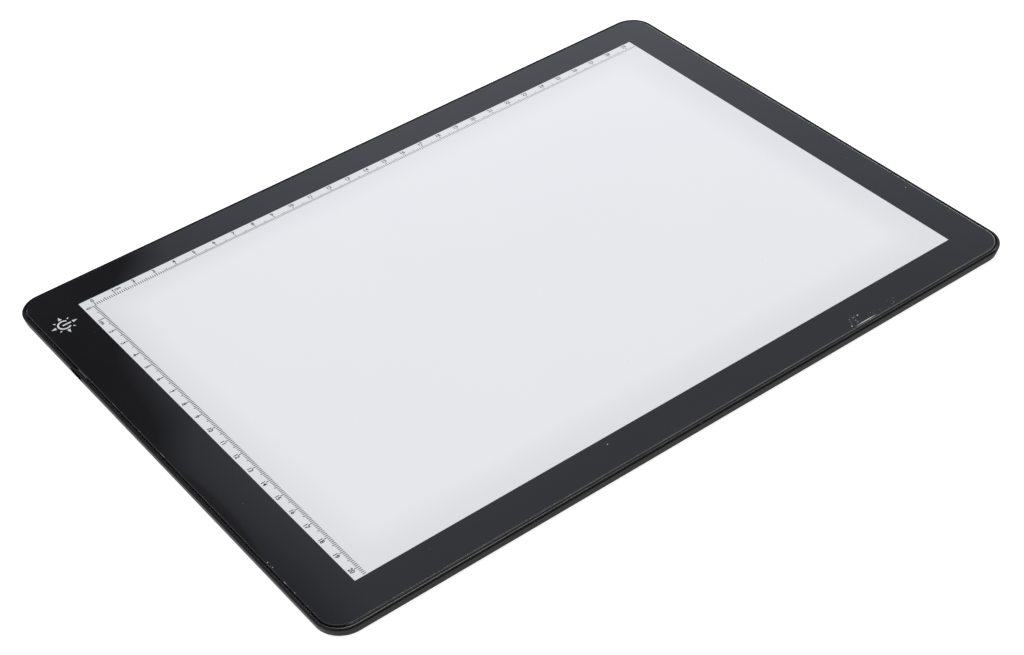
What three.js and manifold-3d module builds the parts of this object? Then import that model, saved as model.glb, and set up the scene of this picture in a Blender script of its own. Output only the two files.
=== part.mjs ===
// A slim A4 light pad for tracing: a moulded tray, an edge-lit stack and a printed front panel.
// Millimetres, +Z up. The origin is on the table under the middle of the tray, +X runs along
// the long side and +Y points to the edge with the long ruler.
import * as THREE from 'three';
import { mergeVertices } from 'three/addons/utils/BufferGeometryUtils.js';
import Module from 'manifold-3d';

const wasm = await Module();
wasm.setup();

// Front panel and its lit window
const windowLength = 300.6;
const windowWidth = 210.6;
const borderSide = 16.2; // black border at the far and near sides
const borderRight = 16.5;
const borderBoard = 20; // wider left border, which hides the control board
const panelThick = 1.5;
const panelBevel = 0.3;
const panelProud = 0.25; // panel face above the tray's rim
const panelGap = 0.5; // slit between the panel's edge and the rim
const inkThick = 0.08;
const inkInset = 0.15; // bare strip between the ink and the bevel

// Printed touch mark, a sun round a power sign
const markLeft = 11.5; // centre, from the window's left edge
const markDown = 8.7; // centre, below the window's far edge
const markRing = 2.65; // middle of the ring's line
const markLine = 0.85;
const markBar = 3.95;
const markBarBack = 0.85; // how far the bar starts behind the centre
const markRayStart = 3.8;
const markRayLong = 2.45;
const markRayShort = 1.65;
const markRayWide = 1.75;
const markRayNarrow = 0.95;
const markBacking = 7; // radius of the white ink behind the mark
const markBackingThick = 0.04;

// Printed rulers
const rulerStep = 5; // a stroke at each half centimetre
const rulerLine = 0.14;
const rulerBase = 5.5; // base line, from the window's edge
const rulerZero = 5.65; // zero, from the window's corner
const rulerStrokeLong = 2.6;
const rulerStrokeShort = 2.2;
const rulerEnd = 1; // bare end of a ruler, from the window's edge
const rulerThick = 0.05;

// Tray
const rimWidth = 1.5;
const rimRound = 0.6;
const rimLip = 0.2; // small bevel inside the rim
const trayCorner = 11.5;
const wallDraft = 1; // how far the wall leans in towards the base
const baseRound = 1.2;
const floorThick = 1;
const ledgeWidth = 4; // shelf round the inside, which carries the panel
const insideCorner = 1; // least radius of an inner corner

// Rubber feet
const footRadius = 6;
const footProud = 0.8;
const footSeat = 0.4; // depth of the recess a foot sits in
const footEdge = 0.3;
const footClear = 0.2;
const footInset = 24;

// Light guide and its sheets
const guideOverlap = 3; // how far the guide reaches past the window
const guideThick = 2;
const reflectorThick = 0.2;
const diffuserThick = 0.25;
const edgeTapeThick = 0.2;
const airGap = 0.05; // between loose sheets
const stopGap = 0.3;
const stopThick = 1;
const stopLong = 18;
const stopHigh = 1.4;

// LED strips
const ledGap = 0.3; // from the guide's edge to the strip
const ledBoardWidth = 3.6;
const ledBoardThick = 0.6;
const ledCoverThick = 0.1; // white film over the board's top
const ledPitch = 8;
const ledLong = 3;
const ledDeep = 1.4;
const ledHigh = 1;
const ledMargin = 7; // from the board's end to the first LED

// Adhesive tape between the ledge and the panel
const tapeThick = 0.2;
const tapeWidth = 3;
const tapeGap = 1; // from a tape's end to the cut in the ledge

// Control board
const boardGap = 0.4;
const boardThick = 0.8;
const boardLift = 0.5; // bosses hold the board off the floor
const boardTail = 13.5; // from the socket's middle to the board's near end
const boardHead = 4.4; // from the touch electrode to the board's far end
const chipLong = 2.9;
const chipWide = 1.5;
const chipTall = 1.1;
const chipLead = 0.3; // leads beyond a chip's body
const smallLong = 1.6; // small resistors and capacitors
const smallWide = 0.8;
const smallHigh = 0.5;
const tantalumLong = 3.5;
const tantalumWide = 2.6;
const coilSide = 3.8;
const electrodeRadius = 4;
const electrodeThick = 0.1;
const foamRadius = 3.6;

// Board screws
const screwInset = 2.3;
const screwHead = 1.5;
const screwHeadHigh = 0.6;
const screwShank = 0.65;
const screwClear = 0.1;
const screwSkin = 0.5; // floor left under a screw's hole
const bossRadius = 1.9;

// Power socket
const socketDown = 38.5; // middle, below the window's far edge
const socketWidth = 7.5;
const socketHigh = 2.4;
const socketDeep = 5.6;
const socketWall = 0.3;
const socketSlant = 0.9; // cut lower corners
const socketLift = 0.1; // above the tray's floor
const socketRecess = 1.3; // mouth behind the top of the sloping wall
const socketClear = 0.3;
const socketClearHigh = 0.2;
const socketBack = 1.6; // plug of plastic at the rear
const socketFit = 0.1;
const tongueWidth = 5;
const tongueThick = 0.5;
const tongueShort = 0.5; // tongue's tip behind the mouth
const contactWidth = 0.4;
const contactThick = 0.12;
const contactPitch = 0.65;
const contactCount = 5;
const earWidth = 1.5; // board beside the socket

// Wires
const wireRadius = 0.4;
const wirePitch = 1.2;
const wireStart = 2; // solder joint, from the board's end
const wireEnd = 2; // solder joint, from an LED board's end
const wireBend = 4.5;
const wireStep = 2.5; // length of one facet along a wire
const clipThick = 0.8;
const clipLong = 5;
const clipHigh = 1.3;
const clipClear = 0.3;

const overrun = 2; // how far a cut runs past what it cuts

// Smoothness, in steps
const cornerSteps = 10;
const roundSteps = 4;
const discSteps = 28;
const wireSides = 6;

// Plan of the pad
const panelLength = borderBoard + windowLength + borderRight;
const panelWidth = windowWidth + 2 * borderSide;
const trayLength = panelLength + 2 * (panelGap + rimWidth);
const trayWidth = panelWidth + 2 * (panelGap + rimWidth);
const panelCorner = trayCorner - rimWidth - panelGap;
const windowX = (borderBoard - borderRight) / 2;
const windowLeft = windowX - windowLength / 2;
const windowFar = windowWidth / 2;
const guideLength = windowLength + 2 * guideOverlap;
const guideWidth = windowWidth + 2 * guideOverlap;
const guideLeft = windowX - guideLength / 2;
const guideRight = windowX + guideLength / 2;
const wallInside = trayLength / 2 - rimWidth;
const ledgeInside = wallInside - ledgeWidth;

// Heights, from the table up
const floorTop = footProud + floorThick;
const reflectorZ = floorTop + airGap;
const guideZ = reflectorZ + reflectorThick + airGap;
const diffuserZ = guideZ + guideThick + airGap;
const boardZ = floorTop + boardLift;
const boardTop = boardZ + boardThick;
const socketZ = floorTop + socketLift;
const stackTop = diffuserZ + diffuserThick;
const panelZ = Math.max(stackTop, socketZ + socketHigh, boardTop + chipTall) + airGap;
const panelTop = panelZ + panelThick;
const rimTop = panelTop - panelProud;
const ledgeTop = panelZ - tapeThick;

// Places on the left, round the control board
const markX = windowLeft - markLeft;
const markY = windowFar - markDown;
const socketY = windowFar - socketDown;
const boardLeft = boardGap - ledgeInside;
const boardRight = guideLeft - edgeTapeThick - airGap - boardGap;
const boardFar = markY + electrodeRadius + boardHead;
const boardNear = socketY - boardTail;
const boardWide = boardRight - boardLeft;
const boardLong = boardFar - boardNear;
const socketMouth = socketRecess - trayLength / 2;
const socketRear = socketMouth + socketDeep;
const slotHalf = socketWidth / 2 + socketClear;
const earHalf = slotHalf + earWidth;
const screwPlaces = [
  [boardRight - screwInset, boardFar - screwInset],
  [boardLeft + screwInset, boardNear + screwInset],
];
const wireRunX = (guideLeft - edgeTapeThick - ledgeInside) / 2;

// A material from a colour, a roughness and a metalness.
function finish(color, roughness, metalness = 0) {
  return new THREE.MeshStandardMaterial({ color, roughness, metalness });
}

const finishes = {
  trayPlastic: finish(0x1c1c1e, 0.45),
  panelWhite: finish(0xdfe3e6, 0.12),
  blackInk: finish(0x131315, 0.1),
  whiteInk: finish(0xe6e7e8, 0.3),
  rulerInk: finish(0x4a4c50, 0.4),
  rubber: finish(0x202022, 0.85),
  filmWhite: finish(0xf1f2f2, 0.5),
  guideAcrylic: finish(0xe8f0f2, 0.05),
  tape: finish(0xc9c4b4, 0.7),
  boardGreen: finish(0x14532f, 0.45),
  boardWhite: finish(0xe9e9e4, 0.5),
  ledBody: finish(0xf2e9b0, 0.35),
  chipBlack: finish(0x1a1a1b, 0.55),
  tantalum: finish(0xb8862b, 0.5),
  ceramic: finish(0xb9a07c, 0.45),
  ferrite: finish(0x3a3a3d, 0.6),
  copper: finish(0xc8814d, 0.3, 1),
  gold: finish(0xd8b25a, 0.25, 1),
  steel: finish(0xb9bcc0, 0.3, 1),
  foam: finish(0x2c2c2e, 0.95),
  wireRed: finish(0xb3201d, 0.4),
  wireBlack: finish(0x18181a, 0.4),
};

const pad = new THREE.Group();

// Adds one named piece to the pad.
function place(name, geometry, material, x = 0, y = 0, z = 0) {
  const mesh = new THREE.Mesh(geometry, material);
  mesh.name = name;
  mesh.position.set(x, y, z);
  pad.add(mesh);
  return mesh;
}

// A box whose base is centred on x, y and stands on z.
function block(long, wide, high, x = 0, y = 0, z = 0) {
  return new THREE.BoxGeometry(long, wide, high).translate(x, y, z + high / 2);
}

// A round disc that stands on z.
function disc(radius, high, x = 0, y = 0, z = 0) {
  const flat = new THREE.CylinderGeometry(radius, radius, high, discSteps);
  return flat.rotateX(Math.PI / 2).translate(x, y, z + high / 2);
}

// An outline, or several, made solid.
function slab(shapes, high) {
  return new THREE.ExtrudeGeometry(shapes, { depth: high, bevelEnabled: false, curveSegments: cornerSteps });
}

// A geometry as a solid that can be cut and joined.
function solid(geometry) {
  const bare = geometry.clone();
  bare.deleteAttribute('normal');
  bare.deleteAttribute('uv');
  const merged = mergeVertices(bare);
  return new wasm.Manifold(
    new wasm.Mesh({
      numProp: 3,
      vertProperties: merged.attributes.position.array,
      triVerts: new Uint32Array(merged.index.array),
    }),
  );
}

// A solid back as a geometry.
function geometryOf(made) {
  const mesh = made.getMesh();
  const geometry = new THREE.BufferGeometry();
  geometry.setAttribute('position', new THREE.BufferAttribute(mesh.vertProperties, 3));
  geometry.setIndex(new THREE.BufferAttribute(mesh.triVerts, 1));
  return geometry;
}

// The points of a rectangle with round corners, counter-clockwise.
function roundRectangle(long, wide, corner) {
  const points = [];
  const middles = [[1, 1], [-1, 1], [-1, -1], [1, -1]];
  middles.forEach(([sideX, sideY], quarter) => {
    for (let step = 0; step <= cornerSteps; step++) {
      const angle = ((quarter + step / cornerSteps) * Math.PI) / 2;
      const x = sideX * (long / 2 - corner) + corner * Math.cos(angle);
      const y = sideY * (wide / 2 - corner) + corner * Math.sin(angle);
      points.push(new THREE.Vector2(x, y));
    }
  });
  return points;
}

// A body whose side follows a profile of [inset, height] round a rectangle with round corners.
// It is closed by a flat face at each end of the profile.
function swept(long, wide, corner, profile) {
  const rings = profile.map(([inset, height]) => {
    const round = Math.max(corner - inset, insideCorner);
    const outline = roundRectangle(long - 2 * inset, wide - 2 * inset, round);
    return outline.map((point) => [point.x, point.y, height]);
  });
  const count = rings[0].length;
  const last = rings.length - 1;
  const position = rings.flat(2);
  position.push(0, 0, profile[0][1], 0, 0, profile[last][1]);
  const firstMiddle = rings.length * count;
  const index = [];
  for (let k = 0; k < count; k++) {
    const next = (k + 1) % count;
    index.push(firstMiddle, next, k);
    index.push(firstMiddle + 1, last * count + k, last * count + next);
    for (let ring = 0; ring < last; ring++) {
      const low = ring * count;
      const high = low + count;
      index.push(low + k, low + next, high + next);
      index.push(low + k, high + next, high + k);
    }
  }
  const geometry = new THREE.BufferGeometry();
  geometry.setAttribute('position', new THREE.Float32BufferAttribute(position, 3));
  geometry.setIndex(index);
  return geometry;
}

// Profile points on a quarter circle from one angle to another.
function arcPoints(insetMiddle, heightMiddle, radius, fromAngle, toAngle) {
  const points = [];
  for (let step = 0; step <= roundSteps; step++) {
    const angle = fromAngle + ((toAngle - fromAngle) * step) / roundSteps;
    points.push([insetMiddle + radius * Math.cos(angle), heightMiddle + radius * Math.sin(angle)]);
  }
  return points;
}

// The bare tray, from the middle of its underside round the rim to its floor.
function trayShell() {
  const right = Math.PI / 2;
  const rimMiddle = rimTop - rimRound;
  const baseMiddle = footProud + baseRound;
  const profile = [
    ...arcPoints(wallDraft + baseRound, baseMiddle, baseRound, -right, -2 * right),
    ...arcPoints(rimRound, rimMiddle, rimRound, 2 * right, right),
    [rimWidth - rimLip, rimTop],
    [rimWidth, rimTop - rimLip],
    [rimWidth, ledgeTop],
    [rimWidth + ledgeWidth, ledgeTop],
    [rimWidth + ledgeWidth, floorTop],
  ];
  return solid(swept(trayLength, trayWidth, trayCorner, profile));
}

// Four places near the corners, with a name for each.
function footPlaces() {
  const x = trayLength / 2 - footInset;
  const y = trayWidth / 2 - footInset;
  return [
    ['foot_far_left', -x, y],
    ['foot_far_right', x, y],
    ['foot_near_left', -x, -y],
    ['foot_near_right', x, -y],
  ];
}

// Everything that is cut out of the tray.
function trayCuts() {
  const cuts = footPlaces().map(([, x, y]) =>
    disc(footRadius + footClear, footSeat + overrun, x, y, footProud - overrun),
  );
  const slotLong = 2 * (rimWidth + overrun);
  const slotHigh = socketHigh + 2 * socketClearHigh;
  const slotZ = socketZ - socketClearHigh;
  cuts.push(block(slotLong, 2 * slotHalf, slotHigh, -trayLength / 2, socketY, slotZ));
  const notchLong = ledgeWidth + overrun;
  const notchX = notchLong / 2 - wallInside;
  const notchWide = 2 * (earHalf + boardGap);
  cuts.push(block(notchLong, notchWide, ledgeTop - floorTop + overrun, notchX, socketY, floorTop));
  return cuts;
}

// A block rooted in the tray's floor, which rises above it.
function floorBlock(long, wide, rise, x, y) {
  const root = floorThick / 2;
  return block(long, wide, rise + root, x, y, floorTop - root);
}

// Bosses under the board, stops beside the guide and clips for the wires.
function trayAdditions() {
  const root = floorThick / 2;
  const made = screwPlaces.map(([x, y]) => disc(bossRadius, boardLift + root, x, y, floorTop - root));
  const stopShares = [-0.35, 0.1];
  const stopX = guideLength / 2 + edgeTapeThick + airGap + stopGap + stopThick / 2;
  const clipShares = [-0.3, 0.05];
  const clipX = wirePitch / 2 + wireRadius + clipClear + clipThick / 2;
  [-1, 1].forEach((side) => {
    stopShares.forEach((share) => {
      made.push(floorBlock(stopThick, stopLong, stopHigh, windowX + side * stopX, share * guideWidth));
    });
    clipShares.forEach((share) => {
      made.push(floorBlock(clipThick, clipLong, clipHigh, wireRunX + side * clipX, share * guideWidth));
    });
  });
  return made;
}

function backTray() {
  let tray = trayShell();
  trayAdditions().forEach((piece) => {
    tray = tray.add(solid(piece));
  });
  trayCuts().forEach((piece) => {
    tray = tray.subtract(solid(piece));
  });
  const holeFrom = footProud + screwSkin;
  screwPlaces.forEach(([x, y]) => {
    tray = tray.subtract(solid(disc(screwShank + screwClear, boardZ - holeFrom + overrun, x, y, holeFrom)));
  });
  place('back_tray', geometryOf(tray), finishes.trayPlastic);
}

function rubberFeet() {
  const high = footProud + footSeat;
  const profile = [
    new THREE.Vector2(0, 0),
    new THREE.Vector2(footRadius - footEdge, 0),
    new THREE.Vector2(footRadius, footEdge),
    new THREE.Vector2(footRadius, high),
    new THREE.Vector2(0, high),
  ];
  footPlaces().forEach(([name, x, y]) => {
    const foot = new THREE.LatheGeometry(profile, discSteps).rotateX(Math.PI / 2);
    place(name, foot, finishes.rubber, x, y);
  });
}

function opticalStack() {
  const sheet = (high) => block(guideLength, guideWidth, high);
  place('reflector_sheet', sheet(reflectorThick), finishes.filmWhite, windowX, 0, reflectorZ);
  place('light_guide', sheet(guideThick), finishes.guideAcrylic, windowX, 0, guideZ);
  place('diffuser_sheet', sheet(diffuserThick), finishes.filmWhite, windowX, 0, diffuserZ);
  const edge = block(edgeTapeThick, guideWidth, guideThick);
  const aside = airGap + edgeTapeThick / 2;
  place('edge_reflector_left', edge, finishes.filmWhite, guideLeft - aside, 0, guideZ);
  place('edge_reflector_right', edge.clone(), finishes.filmWhite, guideRight + aside, 0, guideZ);
}

// One row of LEDs on the white film that covers their board. They face -Y.
function ledRow() {
  let row = solid(block(windowLength, ledBoardWidth, ledCoverThick));
  const room = windowLength - 2 * ledMargin;
  const count = Math.floor(room / ledPitch) + 1;
  const firstX = (-(count - 1) * ledPitch) / 2;
  const y = (ledDeep - ledBoardWidth) / 2;
  for (let k = 0; k < count; k++) {
    const body = block(ledLong, ledDeep, ledHigh + ledCoverThick, firstX + k * ledPitch, y);
    row = row.add(solid(body));
  }
  return geometryOf(row);
}

function ledStrips() {
  const y = guideWidth / 2 + ledGap + ledBoardWidth / 2;
  [['far', 1], ['near', -1]].forEach(([name, side]) => {
    const board = block(windowLength, ledBoardWidth, ledBoardThick);
    place('led_board_' + name, board, finishes.boardWhite, windowX, side * y, floorTop);
    const rowZ = floorTop + ledBoardThick;
    const row = place('led_row_' + name, ledRow(), finishes.ledBody, windowX, side * y, rowZ);
    row.rotation.z = side > 0 ? 0 : Math.PI;
  });
}

// Tape lies on the ledge's middle, in five straight lengths.
function panelTapes() {
  const inset = rimWidth + ledgeWidth / 2;
  const alongX = trayLength - 2 * trayCorner;
  const alongY = trayWidth - 2 * trayCorner;
  const y = trayWidth / 2 - inset;
  const x = trayLength / 2 - inset;
  place('panel_tape_far', block(alongX, tapeWidth, tapeThick), finishes.tape, 0, y, ledgeTop);
  place('panel_tape_near', block(alongX, tapeWidth, tapeThick), finishes.tape, 0, -y, ledgeTop);
  place('panel_tape_right', block(tapeWidth, alongY, tapeThick), finishes.tape, x, 0, ledgeTop);
  const cutFar = socketY + earHalf + boardGap + tapeGap;
  const cutNear = socketY - earHalf - boardGap - tapeGap;
  const farLong = alongY / 2 - cutFar;
  const nearLong = alongY / 2 + cutNear;
  const farPiece = block(tapeWidth, farLong, tapeThick);
  const nearPiece = block(tapeWidth, nearLong, tapeThick);
  place('panel_tape_left_far', farPiece, finishes.tape, -x, cutFar + farLong / 2, ledgeTop);
  place('panel_tape_left_near', nearPiece, finishes.tape, -x, cutNear - nearLong / 2, ledgeTop);
}

function frontPanel() {
  const top = panelThick - panelBevel;
  const profile = [
    [0, 0],
    [0, top],
    [panelBevel, panelThick],
  ];
  const panel = swept(panelLength, panelWidth, panelCorner, profile);
  place('front_panel', panel, finishes.panelWhite, 0, 0, panelZ);
}

// The ring of the power sign, open towards +X.
function markRingShape() {
  const open = Math.asin((2 * markLine) / (markRing + markLine / 2));
  const ring = new THREE.Shape();
  ring.absarc(0, 0, markRing + markLine / 2, open, 2 * Math.PI - open, false);
  ring.absarc(0, 0, markRing - markLine / 2, 2 * Math.PI - open, open, true);
  return ring;
}

// One pointed ray of the sun, turned by an angle.
function markRayShape(angle, long, wide) {
  const corners = [
    [markRayStart, -wide / 2],
    [markRayStart + long, 0],
    [markRayStart, wide / 2],
  ];
  const turned = corners.map(([x, y]) => new THREE.Vector2(x, y).rotateAround(new THREE.Vector2(), angle));
  return new THREE.Shape(turned);
}

function markShapes() {
  const half = markLine / 2;
  const bar = new THREE.Shape([
    new THREE.Vector2(-markBarBack, -half),
    new THREE.Vector2(markBar - markBarBack, -half),
    new THREE.Vector2(markBar - markBarBack, half),
    new THREE.Vector2(-markBarBack, half),
  ]);
  const shapes = [markRingShape(), bar];
  for (let k = 0; k < 4; k++) {
    const angle = (k * Math.PI) / 2;
    shapes.push(markRayShape(angle, markRayLong, markRayWide));
    shapes.push(markRayShape(angle + Math.PI / 4, markRayShort, markRayNarrow));
  }
  return shapes;
}

// Black ink round the window. The touch mark is left open, over a disc of white ink.
function panelPrint() {
  const inset = panelBevel + inkInset;
  const outline = roundRectangle(panelLength - 2 * inset, panelWidth - 2 * inset, panelCorner - inset);
  const frame = new THREE.Shape(outline);
  const hole = [[-1, -1], [-1, 1], [1, 1], [1, -1]].map(
    ([sideX, sideY]) => new THREE.Vector2(windowX + (sideX * windowLength) / 2, (sideY * windowWidth) / 2),
  );
  frame.holes.push(new THREE.Path(hole));
  const mark = slab(markShapes(), inkThick + overrun).translate(markX, markY, -overrun / 2);
  const pocket = disc(markBacking + airGap, markBackingThick + overrun, markX, markY, -overrun);
  const ink = solid(slab(frame, inkThick)).subtract(solid(pocket)).subtract(solid(mark));
  place('bezel_print', geometryOf(ink), finishes.blackInk, 0, 0, panelTop);
  const backing = disc(markBacking, markBackingThick);
  place('touch_mark_print', backing, finishes.whiteInk, markX, markY, panelTop);
}

// A base line with a stroke at each half centimetre, longer at each whole one. It starts at
// x = 0 and its strokes point to +Y.
function rulerShape(long) {
  const points = [new THREE.Vector2(long, 0), new THREE.Vector2(long, rulerLine)];
  const count = Math.floor((long - rulerLine) / rulerStep);
  for (let k = count; k >= 0; k--) {
    const high = k % 2 ? rulerStrokeShort : rulerStrokeLong;
    const x = k * rulerStep;
    points.push(new THREE.Vector2(x + rulerLine, rulerLine), new THREE.Vector2(x + rulerLine, high));
    points.push(new THREE.Vector2(x, high), new THREE.Vector2(x, k ? rulerLine : 0));
  }
  return new THREE.Shape(points);
}

function rulerPrints() {
  const far = slab(rulerShape(windowLength - rulerZero - rulerEnd), rulerThick);
  const left = slab(rulerShape(windowWidth - rulerZero - rulerEnd), rulerThick);
  far.translate(-rulerLine / 2, 0, 0);
  left.translate(-rulerLine / 2, 0, 0).scale(1, -1, 1).rotateZ(-Math.PI / 2);
  flipFaces(left);
  const ink = finishes.rulerInk;
  place('ruler_print_far', far, ink, windowLeft + rulerZero, windowFar - rulerBase, panelTop);
  place('ruler_print_left', left, ink, windowLeft + rulerBase, windowFar - rulerZero, panelTop);
}

// Turns the faces of a mirrored geometry the right way round.
function flipFaces(geometry) {
  const position = geometry.attributes.position;
  for (let k = 0; k < position.count; k += 3) {
    const first = new THREE.Vector3().fromBufferAttribute(position, k);
    const second = new THREE.Vector3().fromBufferAttribute(position, k + 1);
    position.setXYZ(k, second.x, second.y, second.z);
    position.setXYZ(k + 1, first.x, first.y, first.z);
  }
}

// The board's outline, with an ear on each side of the sunk socket.
function boardShape() {
  const earLeft = boardGap - wallInside;
  const rear = socketRear + socketClear;
  const outline = [
    [boardLeft, boardNear],
    [boardRight, boardNear],
    [boardRight, boardFar],
    [boardLeft, boardFar],
    [boardLeft, socketY + earHalf],
    [earLeft, socketY + earHalf],
    [earLeft, socketY + slotHalf],
    [rear, socketY + slotHalf],
    [rear, socketY - slotHalf],
    [earLeft, socketY - slotHalf],
    [earLeft, socketY - earHalf],
    [boardLeft, socketY - earHalf],
  ];
  const shape = new THREE.Shape(outline.map(([x, y]) => new THREE.Vector2(x, y)));
  screwPlaces.forEach(([x, y]) => {
    const hole = new THREE.Path();
    hole.absarc(x, y, screwShank + 2 * screwClear, 0, 2 * Math.PI, true);
    shape.holes.push(hole);
  });
  return shape;
}

// Parts soldered to the board: length along X, width along Y, height, and their place as
// shares of the board's width and length.
function boardParts() {
  const tall = chipTall - airGap;
  const black = finishes.chipBlack;
  const placeShares = {
    touch_chip: [0.56, 0.68],
    dimming_transistor: [0.26, 0.56],
    inductor: [0.7, 0.52],
    diode: [0.72, 0.39],
    tantalum_capacitor_1: [0.76, 0.27],
    tantalum_capacitor_2: [0.76, 0.14],
    ceramic_capacitor_1: [0.2, 0.44],
    ceramic_capacitor_2: [0.2, 0.49],
    resistor_1: [0.82, 0.63],
    resistor_2: [0.82, 0.68],
    resistor_3: [0.2, 0.66],
  };
  const sizes = {
    touch_chip: [chipLong, chipWide, tall, black],
    dimming_transistor: [chipLong, chipWide, tall, black],
    inductor: [coilSide, coilSide, tall, finishes.ferrite],
    diode: [chipLong, chipWide, tall, black],
    tantalum_capacitor_1: [tantalumWide, tantalumLong, tall, finishes.tantalum],
    tantalum_capacitor_2: [tantalumWide, tantalumLong, tall, finishes.tantalum],
    ceramic_capacitor_1: [smallLong, smallWide, smallHigh, finishes.ceramic],
    ceramic_capacitor_2: [smallLong, smallWide, smallHigh, finishes.ceramic],
    resistor_1: [smallLong, smallWide, smallHigh, black],
    resistor_2: [smallLong, smallWide, smallHigh, black],
    resistor_3: [smallLong, smallWide, smallHigh, black],
  };
  return Object.entries(placeShares).map(([name, [acrossShare, alongShare]]) => {
    const [long, wide, high, material] = sizes[name];
    const x = boardLeft + acrossShare * boardWide;
    const y = boardNear + alongShare * boardLong;
    return { name, long, wide, high, material, x, y };
  });
}

// A chip's body on thin leads that reach a little past its sides.
function chipBody(long, wide, high) {
  const lead = high / 4;
  const leads = block(long, wide + 2 * chipLead, lead);
  const body = block(long - chipLead, wide, high);
  return geometryOf(solid(body).add(solid(leads)));
}

function controlBoard() {
  place('control_board', slab(boardShape(), boardThick), finishes.boardGreen, 0, 0, boardZ);
  boardParts().forEach(({ name, long, wide, high, material, x, y }) => {
    const leaded = material === finishes.chipBlack && high > smallHigh;
    const body = leaded ? chipBody(long, wide, high) : block(long, wide, high);
    place(name, body, material, x, y, boardTop);
  });
  place('touch_electrode', disc(electrodeRadius, electrodeThick), finishes.copper, markX, markY, boardTop);
  const foamZ = boardTop + electrodeThick;
  place('touch_foam', disc(foamRadius, panelZ - foamZ), finishes.foam, markX, markY, foamZ);
}

function boardScrews() {
  const tip = footProud + screwSkin + airGap;
  const under = boardTop - tip;
  const profile = [
    new THREE.Vector2(0, 0),
    new THREE.Vector2(screwShank, 0),
    new THREE.Vector2(screwShank, under),
    new THREE.Vector2(screwHead, under),
    new THREE.Vector2(screwHead, under + screwHeadHigh / 2),
    new THREE.Vector2(screwHead / 2, under + screwHeadHigh),
    new THREE.Vector2(0, under + screwHeadHigh),
  ];
  screwPlaces.forEach(([x, y], k) => {
    const screw = new THREE.LatheGeometry(profile, discSteps / 2).rotateX(Math.PI / 2);
    place('board_screw_' + (k + 1), screw, finishes.steel, x, y, tip);
  });
}

// The socket's outline seen from its mouth, with its lower corners cut.
function socketOutline(inset) {
  const half = socketWidth / 2 - inset;
  const low = inset;
  const high = socketHigh - inset;
  const slant = socketSlant - inset / 2;
  const points = [
    [-half + slant, low],
    [half - slant, low],
    [half, low + slant],
    [half, high],
    [-half, high],
    [-half, low + slant],
  ];
  return points.map(([x, y]) => new THREE.Vector2(x, y));
}

// Stands a slab up so that its outline lies in Y and Z and its depth runs along +X.
function standing(geometry) {
  return geometry.rotateX(Math.PI / 2).rotateZ(Math.PI / 2);
}

function powerSocket() {
  const shellShape = new THREE.Shape(socketOutline(0));
  shellShape.holes.push(new THREE.Path(socketOutline(socketWall)));
  const shell = standing(slab(shellShape, socketDeep));
  place('socket_shell', shell, finishes.steel, socketMouth, socketY, socketZ);
  const back = standing(slab(new THREE.Shape(socketOutline(socketWall + socketFit)), socketBack));
  back.translate(socketDeep - socketBack, 0, 0);
  const tongueLong = socketDeep - tongueShort - socketBack / 2;
  const tongueZ = socketHigh / 2 + tongueThick / 2;
  const tongue = block(tongueLong, tongueWidth, tongueThick, tongueShort + tongueLong / 2, 0, tongueZ);
  const insulator = geometryOf(solid(back).add(solid(tongue)));
  place('socket_insulator', insulator, finishes.chipBlack, socketMouth, socketY, socketZ);
  const contactLong = socketDeep - tongueShort - socketBack;
  const contactX = socketMouth + tongueShort + contactLong / 2;
  const contactZ = socketZ + tongueZ - contactThick;
  for (let k = 0; k < contactCount; k++) {
    const y = socketY + (k - (contactCount - 1) / 2) * contactPitch;
    const strip = block(contactLong, contactWidth, contactThick);
    place('socket_contact_' + (k + 1), strip, finishes.gold, contactX, y, contactZ);
  }
}

// Straight runs between points, with each bend rounded.
function wireRoute(points) {
  const places = points.map((point) => new THREE.Vector3(...point));
  const route = new THREE.CurvePath();
  let from = places[0];
  for (let k = 1; k < places.length - 1; k++) {
    const corner = places[k];
    const into = corner.clone().sub(places[k - 1]);
    const away = places[k + 1].clone().sub(corner);
    const round = Math.min(wireBend, into.length(), away.length()) / 2;
    const before = corner.clone().addScaledVector(into.normalize(), -round);
    const after = corner.clone().addScaledVector(away.normalize(), round);
    route.add(new THREE.LineCurve3(from, before));
    route.add(new THREE.QuadraticBezierCurve3(before, corner, after));
    from = after;
  }
  route.add(new THREE.LineCurve3(from, places[places.length - 1]));
  return route;
}

// A round wire along points, cut square at its ends.
function wire(points) {
  const path = wireRoute(points);
  const outline = [];
  for (let k = 0; k < wireSides; k++) {
    const angle = (2 * Math.PI * k) / wireSides;
    outline.push(new THREE.Vector2(wireRadius * Math.cos(angle), wireRadius * Math.sin(angle)));
  }
  const steps = Math.ceil(path.getLength() / wireStep);
  const options = { steps, extrudePath: path, bevelEnabled: false };
  return new THREE.ExtrudeGeometry(new THREE.Shape(outline), options);
}

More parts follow.
